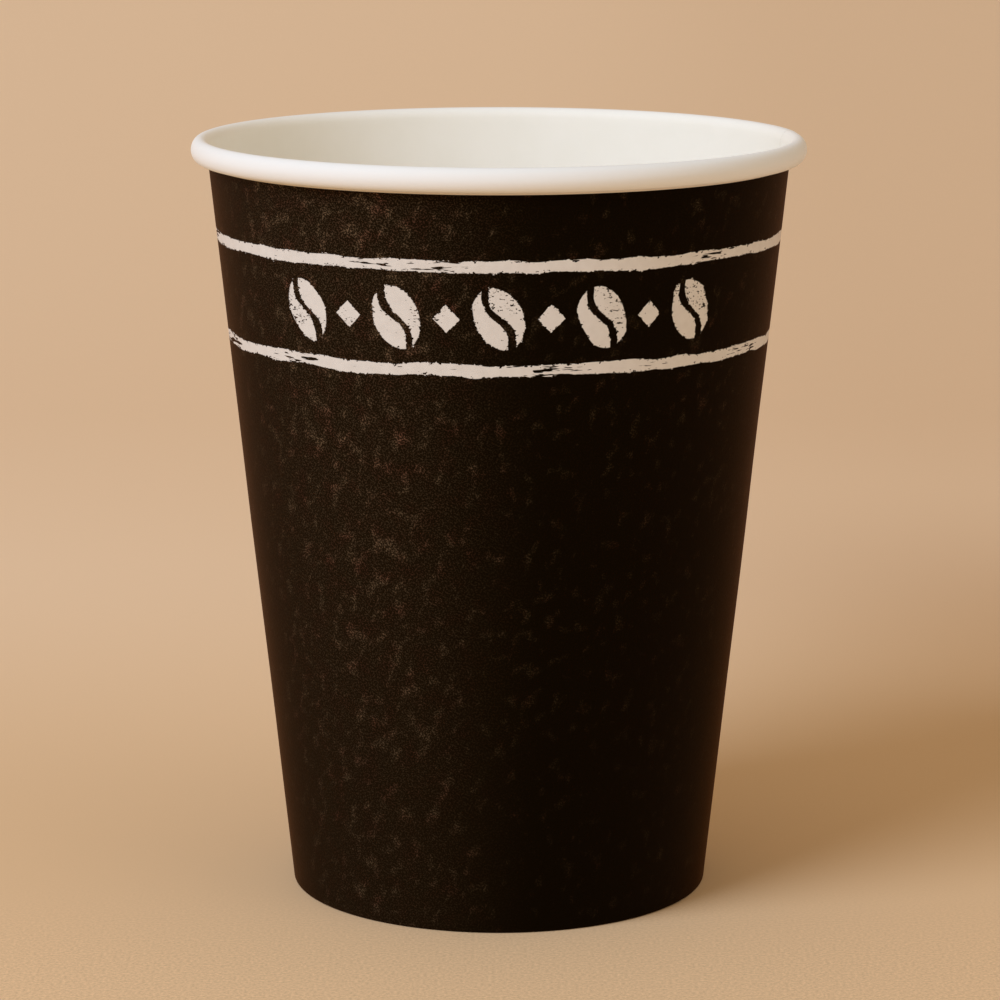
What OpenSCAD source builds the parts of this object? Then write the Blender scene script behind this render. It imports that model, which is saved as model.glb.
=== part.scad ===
// Paper coffee cup for hot drinks: a printed wall rolled from one sheet of
// coated board, and a pressed base disc locked in its foot.
// The front of the print faces -Y, and the cup stands on the plane z = 0.

/* [Cup] */
// Diameter over the rolled rim, which the lid snaps onto
rim_d = 90; // [80:0.5:98]
// Diameter of the foot, over the wall
foot_d = 62; // [54:0.5:70]
// Height from the table to the top of the rim
cup_h = 112; // [90:1:140]
// Thickness of the wall's board
wall_t = 0.4; // [0.3:0.05:0.5]

/* [Rolled rim] */
// Height of the roll
roll_h = 3.7; // [3.3:0.1:4.5]
// Width of the roll, from the inside of the cup outwards
roll_w = 2.7; // [2.5:0.1:3.4]
// How far the edge of the board turns on inside the roll, past a full turn
roll_tuck = 60; // [0:15:75]
// Gap between the turns of board in the roll
roll_gap = 0.05; // [0.03:0.01:0.1]

/* [Side seam] */
// Angle of the seam, turned from the front of the print
lap_angle = 105; // [100:5:180]
// Width of the glued overlap
lap_w = 7; // [5:0.5:10]
// Length over which the outer layer climbs onto the inner one
lap_ramp = 2; // [1.5:0.25:3]
// How far the doubled board stands out of the roll
lap_bulge = 0.3; // [0.1:0.05:0.4]

/* [Foot] */
// Thickness of the base disc's board
base_t = 0.3; // [0.2:0.05:0.4]
// Height of the hem folded up inside the foot
hem_h = 7; // [5:0.5:10]
// Gap between the hem's edge and the base disc above it
hem_gap = 1; // [0.8:0.1:2]
// Radius inside the bend at the base disc's edge
base_bend = 0.6; // [0.3:0.1:0.8]
// Radius inside the fold that the cup stands on
fold_r = 0.05; // [0.02:0.01:0.1]
// Gap between the base disc's flange and the board on each side of it
seat_gap = 0.02; // [0.01:0.01:0.05]

/* [Print] */
// Width of each pale stripe
stripe_w = 1.6; // [1:0.1:3]
// Drop from the top of the rim to the upper stripe
stripe_drop = 13.1; // [10:0.1:20]
// Height of the dark band between the stripes
band_h = 13; // [11:0.5:18]

/* [Hidden] */
$fn = 96;

board_white = [0.93, 0.91, 0.87];
print_dark = [0.12, 0.09, 0.06];
print_pale = [0.88, 0.85, 0.79];

print_t = 0.02;  // thickness of each coat of print on the board
bend_steps = 4;  // straight steps in each bend of the board
roll_step = 15;  // degrees between the points of the roll

// The roll is an oval spiral, and its angle is counted from the inside of the
// cup over the top. Past its outer side it draws in, so that one turn later
// the board lies one thickness and one gap inside the wall that it came from.
roll_c = [rim_d/2 - roll_w/2, cup_h - roll_h/2];
roll_a = (roll_w - wall_t)/2;
roll_b = (roll_h - wall_t)/2;
function drawn_in(turn) = (wall_t + roll_gap)*max(0, turn - 180)/180;
function roll_point(turn) =
    let (in = drawn_in(turn))
    roll_c + [-(roll_a - in)*cos(turn), (roll_b - in)*sin(turn)];

// The wall is straight from the foot up to where the roll has its slope.
foot_r = foot_d/2 - wall_t/2;
rough_slope = (roll_c[0] - roll_a - foot_r)/roll_c[1];
roll_start = atan(rough_slope*roll_b/roll_a);
wall_slope = (roll_point(roll_start)[0] - foot_r)/roll_point(roll_start)[1];
lean = atan(wall_slope);

// Radius at height z of a line that lies in from the wall's outer face
function wall_r(z, in) = foot_r + wall_slope*z + (wall_t/2 - in)/cos(lean);

// Depths in from the wall's outer face, and heights, of what the foot holds
flange_in = wall_t + seat_gap + base_t/2;
hem_in = wall_t + 2*seat_gap + base_t + wall_t/2;
base_z = hem_h + hem_gap + base_t/2;
flange_z = wall_t + fold_r + seat_gap;
fold_z = wall_t/2;

function unit(v) = v/norm(v);
function left_of(v) = [-v[1], v[0]];

// Points of a bend of radius r at corner b, on the way from a to c
function bend(a, b, c, r) =
    let (u = unit(a - b), v = unit(c - b), half = acos(u*v)/2,
         centre = b + unit(u + v)*r/sin(half),
         first = b + u*r/tan(half) - centre,
         last = b + v*r/tan(half) - centre,
         sweep = 180 - 2*half)
    [for (i = [0:bend_steps])
        let (k = i/bend_steps)
        centre + (first*sin((1 - k)*sweep) + last*sin(k*sweep))/sin(sweep)];

// Point i of a path moved sideways by d, with the path's corners mitred
function beside(path, i, d) =
    let (end = len(path) - 1,
         before = left_of(unit(path[max(i, 1)] - path[max(i, 1) - 1])),
         after = left_of(unit(path[min(i + 1, end)] - path[min(i, end - 1)])),
         mitre = unit(before + after))
    path[i] + mitre*d/(mitre*before);

// Outline of a board of thickness t laid along its middle line
function board_outline(path, t) =
    concat([for (i = [0:len(path) - 1]) beside(path, i, t/2)],
           [for (i = [len(path) - 1:-1:0]) beside(path, i, -t/2)]);

// Middle line of the wall: down the hem, round the fold, up and into the roll
hem_edge = [wall_r(hem_h, hem_in), hem_h];
fold_inner = [wall_r(fold_z, hem_in), fold_z];
fold_outer = [wall_r(fold_z, wall_t/2), fold_z];
wall_path = concat(
    [hem_edge],
    bend(hem_edge, fold_inner, fold_outer, fold_r + wall_t/2),
    bend(fold_inner, fold_outer, roll_point(roll_start), fold_r + wall_t/2),
    [roll_point(roll_start)],
    [for (turn = [roll_step:roll_step:360 + roll_tuck]) roll_point(turn)]);

// Middle line of the base disc: out from the axis and down its flange
base_corner = [wall_r(base_z, flange_in), base_z];
flange_edge = [wall_r(flange_z, flange_in), flange_z];
base_path = concat(
    [[0, base_z]],
    bend([0, base_z], base_corner, flange_edge, base_bend + base_t/2),
    [flange_edge]);

// Outer side of the roll where the seam doubles the board
bulge_path = [for (turn = [90 - roll_step:roll_step:270 + roll_step]) roll_point(turn)];
bulge_outline = concat(
    [for (i = [1:len(bulge_path) - 2])
        beside(bulge_path, i, wall_t/2 + lap_bulge*sin((i - 1)*roll_step))],
    [for (i = [len(bulge_path) - 2:-1:1]) bulge_path[i]]);

// Heights at which the print begins and ends, and the tops of its stripes
print_low = 2*wall_t;
print_high = cup_h - roll_h;
stripe_tops = [cup_h - stripe_drop, cup_h - stripe_drop - stripe_w - band_h];
seam_low = wall_t/4;
groove_low = base_z + base_bend + base_t;

// The seam's width and ramp as angles, at half the cup's height
function wall_turn(length) = length/wall_r(cup_h/2, 0)*180/PI;
lap_turn = wall_turn(lap_w);
ramp_turn = wall_turn(lap_ramp);
cover_turn = 0.96*lap_turn;

// Turns what starts at the X axis to an angle from the middle of the seam
module from_seam(turn)
    rotate([0, 0, lap_angle - 90 + turn])
        children();

// Part of the wall between two heights, from one depth to another
module wall_layer(z0, z1, in0, in1, turn = 360)
    rotate_extrude(angle = turn)
        polygon([[wall_r(z0, in0), z0], [wall_r(z0, in1), z0],
                 [wall_r(z1, in1), z1], [wall_r(z1, in0), z1]]);

// Block on the outer or inner side of the plane in which the outer layer
// climbs: the plane starts on a line of the wall, depth in, and rises from it.
module ramp_side(in, outer)
    from_seam(-lap_turn/2 - ramp_turn)
        translate([wall_r(0, in), 0, 0])
            rotate([0, lean, 0])
                rotate([0, 0, -atan(wall_t/lap_ramp)])
                    translate([outer ? 0 : -cup_h, -cup_h/2, -cup_h/2])
                        cube([cup_h, cup_h, 2*cup_h]);

// Outer layer of the seam between two heights
module outer_layer(z0, z1)
    difference() {
        from_seam(-lap_turn/2 - 2*ramp_turn)
            wall_layer(z0, z1, -wall_t - print_t, wall_t/2, lap_turn + 2*ramp_turn);
        ramp_side(-print_t, true);
    }

// Groove inside the cup, between the edge of the inner layer and the ramp
module inner_groove(z0, z1)
    intersection() {
        from_seam(-lap_turn/2 - 2*ramp_turn)
            wall_layer(z0, z1, 0, 2*wall_t, 2*ramp_turn);
        ramp_side(wall_t, false);
    }

module roll_bulge()
    from_seam(-lap_turn/2)
        rotate_extrude(angle = lap_turn)
            polygon(bulge_outline);

module board_wall()
    rotate_extrude()
        polygon(board_outline(wall_path, wall_t));

// Pale stripe round the wall, and on over the outer layer to just short of
// the board's edge
module stripe(top) {
    wall_layer(top - stripe_w, top, -2*print_t, wall_t/4);
    from_seam(-cover_turn/2)
        wall_layer(top - stripe_w, top, -wall_t - 2*print_t, -wall_t/2, cover_turn);
}

module sidewall()
    difference() {
        union() {
            color(board_white) {
                board_wall();
                roll_bulge();
            }
            color(print_dark) {
                wall_layer(print_low, print_high, -print_t, wall_t/2);
                outer_layer(seam_low, roll_c[1]);
            }
            color(print_pale)
                for (top = stripe_tops)
                    stripe(top);
        }
        color(board_white)
            inner_groove(groove_low, print_high);
    }

module base_disc() {
    color(board_white)
        rotate_extrude()
            polygon(board_outline(base_path, base_t));
}

sidewall();
base_disc();
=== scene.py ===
# %% [markdown]
# # A paper coffee cup
# A paper cup is two pieces of coated board and nothing else. The wall is a flat
# fan-shaped blank, printed while it is still flat, then rolled into a cone and
# sealed to itself along a lapped side seam. The base is a disc with its edge
# turned down. The foot of the wall is folded up round that edge, and the mouth
# of the wall is curled outwards into a roll that a lid can grip.
#
# This lesson rolls the same two blanks in Blender: one section line is drawn for
# each, Geometry Nodes turn it round the axis, and a Solidify modifier gives the
# board its thickness. The cup stands on z = 0 with the front of its print
# towards -Y.

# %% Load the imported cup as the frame
import math

import bpy
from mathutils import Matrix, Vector


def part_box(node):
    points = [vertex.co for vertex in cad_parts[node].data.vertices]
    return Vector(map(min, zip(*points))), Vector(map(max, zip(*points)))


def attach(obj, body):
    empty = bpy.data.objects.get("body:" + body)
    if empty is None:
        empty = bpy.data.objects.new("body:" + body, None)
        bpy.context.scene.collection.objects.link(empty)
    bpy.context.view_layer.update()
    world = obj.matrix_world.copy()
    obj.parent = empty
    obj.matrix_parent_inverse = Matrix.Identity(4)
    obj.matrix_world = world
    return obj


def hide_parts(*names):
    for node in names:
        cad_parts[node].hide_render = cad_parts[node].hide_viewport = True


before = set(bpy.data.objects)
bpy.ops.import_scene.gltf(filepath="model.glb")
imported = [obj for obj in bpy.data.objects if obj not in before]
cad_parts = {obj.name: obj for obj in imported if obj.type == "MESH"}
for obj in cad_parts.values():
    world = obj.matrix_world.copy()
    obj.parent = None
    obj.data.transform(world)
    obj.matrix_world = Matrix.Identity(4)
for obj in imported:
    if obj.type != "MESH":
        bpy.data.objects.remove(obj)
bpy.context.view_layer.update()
scene = bpy.context.scene
scene.view_settings.view_transform = "Standard"
print("nodes:", sorted(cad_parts))

# %% [markdown]
# ## Helpers
# Real materials are noted as sRGB hex values, the way a paint chart gives them,
# but shaders work on linear light, so one function turns the one into the other.
# Node trees repeat the same three moves, which are to make a node, to set it and
# to link it. The function add does all three, so that a tree reads as a list of
# what it computes. Some nodes hold several sockets of one name and use only one of
# them, which first_shown finds. The list for a Map Range node is the value, the
# two ends of the range that it comes from, and the two ends of the range that it
# goes to. A last function puts what is made into the scene.

# %% Colours, nodes and objects
MM = 0.001
WALL = "sidewall"
BASE = "base_disc"
MATH = "ShaderNodeMath"
VECTOR = "ShaderNodeVectorMath"
RANGE = "ShaderNodeMapRange"
NOISE = "ShaderNodeTexNoise"
MIX = "ShaderNodeMix"
SMOOTH = {"interpolation_type": "SMOOTHSTEP"}


def colour(hex_value):
    """Linear RGBA of an sRGB hex value such as "E9E1D6"."""
    channels = [int(hex_value[i:i + 2], 16) / 255 for i in (0, 2, 4)]
    linear = [c / 12.92 if c <= 0.04045 else ((c + 0.055) / 1.055) ** 2.4 for c in channels]
    return (*linear, 1)


def first_shown(sockets, name=None):
    """The first socket in use, or the first in use that has that name."""
    return next(s for s in sockets if s.enabled and name in (None, s.name))


def add(tree, kind, inputs=(), **settings):
    """Adds a node. Its inputs are a list in the order of its sockets, or a dictionary by name
    or number, of values to set, or of nodes and sockets to link from."""
    node = tree.nodes.new(kind)
    for name, value in settings.items():
        setattr(node, name, value)
    pairs = inputs.items() if isinstance(inputs, dict) else enumerate(inputs)
    for key, value in pairs:
        socket = node.inputs[key] if isinstance(key, int) else first_shown(node.inputs, key)
        if isinstance(value, bpy.types.Node):
            value = first_shown(value.outputs)
        if isinstance(value, bpy.types.NodeSocket):
            tree.links.new(value, socket)
        else:
            socket.default_value = value
    return node


def put_up(name, data):
    """A new object in the scene for a mesh, a light or a camera."""
    thing = bpy.data.objects.new(name, data)
    scene.collection.objects.link(thing)
    return thing


print("white board in linear light:", [round(c, 3) for c in colour("F4F0EA")])

# %% [markdown]
# ## The camera
# The picture was taken from a little above the rim with a long lens, so the sides
# of the cup look straight and the mouth is a narrow oval. The pose below puts the
# rim, both stripes, the sides and the foot where the photograph has them.

# %% Put up the camera
CAMERA_PLACE = (0.158 * MM, -561.93 * MM, 168.89 * MM)
CAMERA_PITCH = 0.1956  # radians below the horizon
CAMERA_LENS = 138.29  # millimetres, on a sensor 36 mm wide

camera_data = bpy.data.cameras.new("photo_camera")
camera_data.sensor_width = 36
camera_data.lens = CAMERA_LENS
camera_data.clip_start = 0.01
camera = put_up("photo_camera", camera_data)
camera.location = CAMERA_PLACE
camera.rotation_euler = (math.pi / 2 - CAMERA_PITCH, 0, 0)
scene.camera = camera
print("the camera looks down by", round(math.degrees(CAMERA_PITCH), 1), "degrees")

# %% [markdown]
# ## The section of the wall
# Cut the cup from mouth to foot and the wall is one long line of board: down the
# hem inside the foot, round the fold that the cup stands on, straight up the side
# and over into the roll. The line is worked out from the same few sizes as the
# solid model, in millimetres, as points (distance from the axis, height).

# %% Sizes of the wall
wall_low, wall_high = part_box(WALL)
RIM_D = round((wall_high.x - wall_low.x) / MM, 1)
CUP_H = round(wall_high.z / MM, 1)
FOOT_D = 62
WALL_T = 0.4
BASE_T = 0.3
ROLL_H = 3.7
ROLL_W = 2.7
ROLL_TUCK = 60  # degrees that the edge turns on inside the roll
ROLL_GAP = 0.05  # between the turns of board in the roll
HEM_H = 7
HEM_GAP = 1  # between the hem's edge and the base above it
FOLD_R = 0.05  # inside the fold that the cup stands on
SEAT_GAP = 0.02  # on each side of the base's flange
BASE_BEND = 0.6  # inside the bend at the base's edge

roll_centre = (RIM_D / 2 - ROLL_W / 2, CUP_H - ROLL_H / 2)
roll_a = (ROLL_W - WALL_T) / 2
roll_b = (ROLL_H - WALL_T) / 2
foot_r = FOOT_D / 2 - WALL_T / 2


def roll_point(turn):
    """A point of the roll, which draws in past its outer side so that its edge tucks inside."""
    drawn_in = (WALL_T + ROLL_GAP) * max(0, turn - 180) / 180
    angle = math.radians(turn)
    return (roll_centre[0] - (roll_a - drawn_in) * math.cos(angle),
            roll_centre[1] + (roll_b - drawn_in) * math.sin(angle))


rough_slope = (roll_centre[0] - roll_a - foot_r) / roll_centre[1]
roll_start = math.degrees(math.atan(rough_slope * roll_b / roll_a))
roll_foot = roll_point(roll_start)
wall_slope = (roll_foot[0] - foot_r) / roll_foot[1]
lean = math.atan(wall_slope)


def wall_r(z, depth):
    """Radius at height z of a line that lies that deep inside the wall's outer face."""
    return foot_r + wall_slope * z + (WALL_T / 2 - depth) / math.cos(lean)


print(f"rim {RIM_D} mm, height {CUP_H} mm, the wall leans {math.degrees(lean):.2f} degrees")

# %% [markdown]
# ### Bends and straight runs
# Board can't turn a sharp corner, so each corner of the line becomes an arc. Short
# steps are kept for the places where the shape changes, near the foot and the
# roll, and the straight side gets only a few long ones.

# %% Points along the section
BEND_STEPS = 8
HEM_STEPS = 7
SIDE_STEPS = 24
ROLL_STEP = 10  # degrees


def bend(before, corner, after, radius):
    """Points of an arc of that radius round a corner of the line."""
    corner = Vector(corner)
    to_before = (Vector(before) - corner).normalized()
    to_after = (Vector(after) - corner).normalized()
    half = to_before.angle(to_after) / 2
    centre = corner + (to_before + to_after).normalized() * radius / math.sin(half)
    first = (corner + to_before * radius / math.tan(half) - centre).normalized()
    last = (corner + to_after * radius / math.tan(half) - centre).normalized()
    shares = [i / BEND_STEPS for i in range(BEND_STEPS + 1)]
    return [centre + radius * first.slerp(last, share) for share in shares]


def run(start, end, steps, crowding=0.0):
    """Points between two others, closer together towards both ends as crowding nears 1."""
    start, end = Vector(start), Vector(end)
    shares = [i / steps for i in range(1, steps)]
    return [start.lerp(end, s - crowding * math.sin(math.tau * s) / math.tau) for s in shares]


hem_depth = WALL_T + 2 * SEAT_GAP + BASE_T + WALL_T / 2
fold_z = WALL_T / 2
hem_edge = (wall_r(HEM_H, hem_depth), HEM_H)
fold_inner = (wall_r(fold_z, hem_depth), fold_z)
fold_outer = (wall_r(fold_z, WALL_T / 2), fold_z)
first_bend = bend(hem_edge, fold_inner, fold_outer, FOLD_R + WALL_T / 2)
second_bend = bend(fold_inner, fold_outer, roll_foot, FOLD_R + WALL_T / 2)
roll_turns = [roll_start]
while roll_turns[-1] < 360 + ROLL_TUCK:
    roll_turns.append(min(roll_turns[-1] + ROLL_STEP, 360 + ROLL_TUCK))

wall_line = ([Vector(hem_edge)] + run(hem_edge, first_bend[0], HEM_STEPS) + first_bend + second_bend
             + run(second_bend[-1], roll_foot, SIDE_STEPS, crowding=0.8)
             + [Vector(roll_point(turn)) for turn in roll_turns])
print("the wall's section has", len(wall_line), "points")

# %% [markdown]
# ### What each point of the section carries
# The line says where the board goes, but rolling it up needs more: which way the
# printed face looks, how far along the flat blank a point lies, and how much each
# of four things happens there. *Pressed* is where the doubled board of the seam is
# crushed, in the foot and in the roll. *Curled* is the outer side of the roll,
# which bulges over the seam. *Loose* is the free side of the cup, which is never
# quite true, and *knurled* is the hem, which a toothed wheel squeezes shut.

# %% Measure the line and weigh its points
PRESSED_BELOW = (1.0, 2.5)  # heights between which the foot's pressing fades
PRESSED_ABOVE = (106.0, 108.3)  # heights between which the roll's pressing begins
LOOSE_BETWEEN = (14.0, 34.0, 92.0, 106.0)  # heights where it begins, is full, wanes and ends
KNURLED_BETWEEN = (0.8, 1.8, 5.6, 6.6)  # the same for the wheel's marks


def rise(value, start, end):
    """Smooth step from 0 at start to 1 at end."""
    share = min(max((value - start) / (end - start), 0), 1)
    return share * share * (3 - 2 * share)


def printed_side(line, i):
    """Normal of the line at point i, on its right, long enough to keep a mitre's thickness."""
    before = (line[max(i, 1)] - line[max(i, 1) - 1]).normalized()
    after = (line[min(i + 1, len(line) - 1)] - line[min(i, len(line) - 2)]).normalized()
    before_normal = Vector((before.y, -before.x))
    mitre = (before_normal + Vector((after.y, -after.x))).normalized()
    return mitre / mitre.dot(before_normal)


def lengths_along(line, zero):
    """Distance along the line of each point, counted from the point numbered zero."""
    lengths = [0.0]
    for before, after in zip(line, line[1:]):
        lengths.append(lengths[-1] + (after - before).length)
    return [length - lengths[zero] for length in lengths]


foot_point = HEM_STEPS + 2 * (BEND_STEPS + 1)
side_end = foot_point + SIDE_STEPS - 1
wall_along = lengths_along(wall_line, foot_point)
wall_weights = []
for number, (radius, height) in enumerate(wall_line):
    in_roll = number > side_end
    on_hem = number <= HEM_STEPS
    on_side = foot_point <= number <= side_end
    pressed = 1 if in_roll else max(1 - rise(height, *PRESSED_BELOW), rise(height, *PRESSED_ABOVE))
    turn = roll_turns[number - side_end - 1] if in_roll else 0
    curled = max(0, math.sin(math.radians(turn - 90))) if turn < 270 else 0
    loose = rise(height, *LOOSE_BETWEEN[:2]) * (1 - rise(height, *LOOSE_BETWEEN[2:]))
    knurled = rise(height, *KNURLED_BETWEEN[:2]) * (1 - rise(height, *KNURLED_BETWEEN[2:]))
    wall_weights.append((pressed, curled, loose * on_side, knurled * on_hem))
print(f"the blank is {wall_along[-1] - wall_along[0]:.1f} mm from its hem to its curled edge")

# %% [markdown]
# ## Rolling the blank
# On a cup machine a mandrel rolls the flat blank until its two edges overlap. The
# node tree does the same. It makes a flat grid, one column for each point of the
# section, and then puts each grid point where the rolled board has it: it looks up
# the section, turns it by the point's own angle, and lets the turning run past a
# full circle, so that the last few degrees climb a ramp and lie over the first.
#
# A lathe-like screw modifier could turn the line too, but its surface would meet
# itself edge to edge. Here the overlap is real: both raw edges are there, one
# outside the cup and one inside. The tree also keeps two sets of flat coordinates,
# so that the print can be laid out on the blank before it was rolled.

# %% The node tree that rolls a blank
CROWDED = 0.5  # how much closer the steps are at the seam than at the front
SKIVED = 0.03  # share of the thickness that the inner layer keeps where it is pressed
FRONT = 1.5 * math.pi
WAVE_NOISE = (0.2, 0.8)  # noise levels of the deepest and the highest wave
WELD = 0.002 * MM  # points nearer than this become one
BLANK_INPUTS = {
    "Section": "Geometry", "Points": "Int", "Steps": "Int", "Start Angle": "Float",
    "Lap Angle": "Float", "Ramp Angle": "Float", "Layer": "Float", "Roll Bulge": "Float",
    "Waviness": "Float", "Wave Length": "Float", "Teeth": "Int", "Tooth Depth": "Float",
    "Lean": "Float", "Apex": "Float", "Print Radius": "Float", "Board": "Material",
}


def rolling_tree():
    """The tree that turns a section line, with its weights, into one rolled sheet."""
    tree = bpy.data.node_groups.new("roll_the_blank", "GeometryNodeTree")
    for name, kind in BLANK_INPUTS.items():
        tree.interface.new_socket(name, in_out="INPUT", socket_type="NodeSocket" + kind)
    tree.interface.new_socket("Rolled", in_out="OUTPUT", socket_type="NodeSocketGeometry")
    given = tree.nodes.new("NodeGroupInput").outputs

    # The flat grid: one row for each step round the cup, one column for each section point
    rows = add(tree, MATH, [given["Steps"], 1.0], operation="ADD")
    grid = add(tree, "GeometryNodeMeshGrid", {"Vertices X": rows, "Vertices Y": given["Points"]})
    index = add(tree, "GeometryNodeInputIndex")
    row = add(tree, "FunctionNodeIntegerMath", [index, given["Points"]], operation="DIVIDE_FLOOR")
    column = add(tree, "FunctionNodeIntegerMath", [index, given["Points"]], operation="MODULO")

    # How far round the cup a row lies: steps are shorter near the seam
    share = add(tree, MATH, [row, given["Steps"]], operation="DIVIDE")
    circle = add(tree, MATH, [share, math.tau], operation="MULTIPLY")
    swing = add(tree, MATH, [circle], operation="SINE")
    crowded = add(tree, MATH, [swing, -CROWDED / math.tau, share], operation="MULTIPLY_ADD")
    whole = add(tree, MATH, [given["Lap Angle"], math.tau], operation="ADD")
    rolled = add(tree, MATH, [crowded, whole], operation="MULTIPLY")
    angle = add(tree, MATH, [rolled, given["Start Angle"]], operation="ADD")
    from_front = add(tree, MATH, [angle, FRONT], operation="SUBTRACT")

    # What the section says at this column
    at_column = {}
    fields = {"place": add(tree, "GeometryNodeInputPosition")}
    for name in ("printed_side", "weights", "marks"):
        fields[name] = add(tree, "GeometryNodeInputNamedAttribute", {"Name": name},
                           data_type="FLOAT_VECTOR")
    for name, field in fields.items():
        at_column[name] = add(tree, "GeometryNodeSampleIndex",
                              {"Geometry": given["Section"], "Value": field, "Index": column},
                              data_type="FLOAT_VECTOR")
    weights = add(tree, "ShaderNodeSeparateXYZ", [at_column["weights"]]).outputs
    marks = add(tree, "ShaderNodeSeparateXYZ", [at_column["marks"]]).outputs
    pressed, curled, loose = weights
    knurled, along, height = marks

    # Outer layer from the ramp on, inner layer up to just past the outer one's edge
    ramp_foot = add(tree, MATH, [math.tau, given["Ramp Angle"]], operation="SUBTRACT")
    outer = add(tree, RANGE, [rolled, ramp_foot, math.tau], **SMOOTH)
    ramp_head = add(tree, MATH, [given["Lap Angle"], given["Ramp Angle"]], operation="ADD")
    inner = add(tree, RANGE, [rolled, given["Lap Angle"], ramp_head, 1.0, 0.0], **SMOOTH)
    doubled = add(tree, MATH, [outer, inner], operation="ADD")

    # The outer layer lies one board out. Pressed layers share one board's thickness between them
    sunk = add(tree, MATH, [pressed, SKIVED / 2 - 1, 1.0], operation="MULTIPLY_ADD")
    outer_out = add(tree, MATH, [outer, sunk], operation="MULTIPLY")
    inner_pressed = add(tree, MATH, [inner, pressed], operation="MULTIPLY")
    outer_pressed = add(tree, MATH, [outer, pressed], operation="MULTIPLY")
    layers = add(tree, MATH, [inner_pressed, (SKIVED - 1) / 2, outer_out], operation="MULTIPLY_ADD")
    layer_shift = add(tree, MATH, [layers, given["Layer"]], operation="MULTIPLY")
    thinned = add(tree, MATH, [inner_pressed, SKIVED - 1, 1.0], operation="MULTIPLY_ADD")
    thickness = add(tree, MATH, [outer_pressed, -SKIVED, thinned], operation="MULTIPLY_ADD")

    # The roll bulges over the seam
    bulging = add(tree, MATH, [doubled, curled], operation="MULTIPLY")
    bulge_shift = add(tree, MATH, [bulging, given["Roll Bulge"]], operation="MULTIPLY")

    # The free side waves a little, the same for both layers because it reads the true place
    turned = add(tree, "ShaderNodeVectorRotate", {"Vector": at_column["place"], "Angle": angle},
                 rotation_type="Z_AXIS")
    wave_scale = add(tree, MATH, [1.0, given["Wave Length"]], operation="DIVIDE")
    waves = add(tree, NOISE, {"Vector": turned, "Scale": wave_scale, "Detail": 1.0})
    wave = add(tree, RANGE, [waves, *WAVE_NOISE, -1.0, 1.0])
    loose_wave = add(tree, MATH, [wave, loose], operation="MULTIPLY")
    wave_shift = add(tree, MATH, [loose_wave, given["Waviness"]], operation="MULTIPLY")

    # Teeth of the wheel that closes the hem
    tooth_angle = add(tree, MATH, [angle, given["Teeth"]], operation="MULTIPLY")
    tooth_wave = add(tree, MATH, [tooth_angle], operation="SINE")
    tooth = add(tree, MATH, [tooth_wave, 0.5, 0.5], operation="MULTIPLY_ADD")
    tooth_here = add(tree, MATH, [tooth, knurled], operation="MULTIPLY")
    tooth_shift = add(tree, MATH, [tooth_here, given["Tooth Depth"]], operation="MULTIPLY")

    # Move the section along its printed side, then turn it into place
    shift = add(tree, MATH, [layer_shift, bulge_shift], operation="SUBTRACT")
    for part in (wave_shift, tooth_shift):
        shift = add(tree, MATH, [shift, part], operation="ADD")
    step_out = add(tree, VECTOR, {0: at_column["printed_side"], "Scale": shift}, operation="SCALE")
    moved = add(tree, VECTOR, [at_column["place"], step_out], operation="ADD")
    placed = add(tree, "ShaderNodeVectorRotate", {"Vector": moved, "Angle": angle}, rotation_type="Z_AXIS")
    sheet = add(tree, "GeometryNodeSetPosition", {"Geometry": grid, "Position": placed})

    # The flat blank is a fan: distance from the cone's tip, and a share of the angle
    from_tip = add(tree, MATH, [along, given["Apex"]], operation="ADD")
    spoke = add(tree, "ShaderNodeCombineXYZ", {"Y": from_tip})
    narrowing = add(tree, MATH, [given["Lean"]], operation="SINE")
    fan_angle = add(tree, MATH, [from_front, narrowing], operation="MULTIPLY")
    clockwise = add(tree, MATH, [fan_angle, -1.0], operation="MULTIPLY")
    fan = add(tree, "ShaderNodeVectorRotate", {"Vector": spoke, "Angle": clockwise}, rotation_type="Z_AXIS")
    tip = add(tree, "ShaderNodeCombineXYZ", {"Y": given["Apex"]})
    flat = add(tree, VECTOR, [fan, tip], operation="SUBTRACT")
    around = add(tree, MATH, [from_front, given["Print Radius"]], operation="MULTIPLY")
    wrap = add(tree, "ShaderNodeCombineXYZ", {"X": around, "Y": height, "Z": along})

    # Keep both places, in millimetres, and the thickness for the Solidify modifier
    for name, value in (("blank", flat), ("wrap", wrap)):
        in_mm = add(tree, VECTOR, {0: value, "Scale": 1 / MM}, operation="SCALE")
        sheet = add(tree, "GeometryNodeStoreNamedAttribute",
                    {"Geometry": sheet, "Name": name, "Value": in_mm},
                    data_type="FLOAT_VECTOR")
    sheet = add(tree, "GeometryNodeStoreNamedAttribute",
                {"Geometry": sheet, "Name": "thickness", "Value": thickness},
                data_type="FLOAT")
    joined = add(tree, "GeometryNodeMergeByDistance", {"Geometry": sheet, "Distance": WELD})
    whole_sheet = add(tree, "GeometryNodeRealizeInstances", {"Geometry": joined})
    finished = add(tree, "GeometryNodeSetMaterial", {"Geometry": whole_sheet, "Material": given["Board"]})
    add(tree, "NodeGroupOutput", [finished])
    return tree


roll_the_blank = rolling_tree()
print("the rolling tree has", len(roll_the_blank.nodes), "nodes")

# %% [markdown]
# ## Giving the sheet its thickness
# The rolled sheet is the middle of the board. Solidify pushes one copy out to the
# printed face and one in to the coated face, and closes the cut edges between
# them. Its material offsets put the three finishes where they belong: printed or
# uncoated outside, coated inside, and raw fibre on every cut edge. Edges sharper
# than a bend are then marked, so that a cut edge shades as a corner.

# %% Make a board from a section line
SHARP_ANGLE = math.radians(42)


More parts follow.
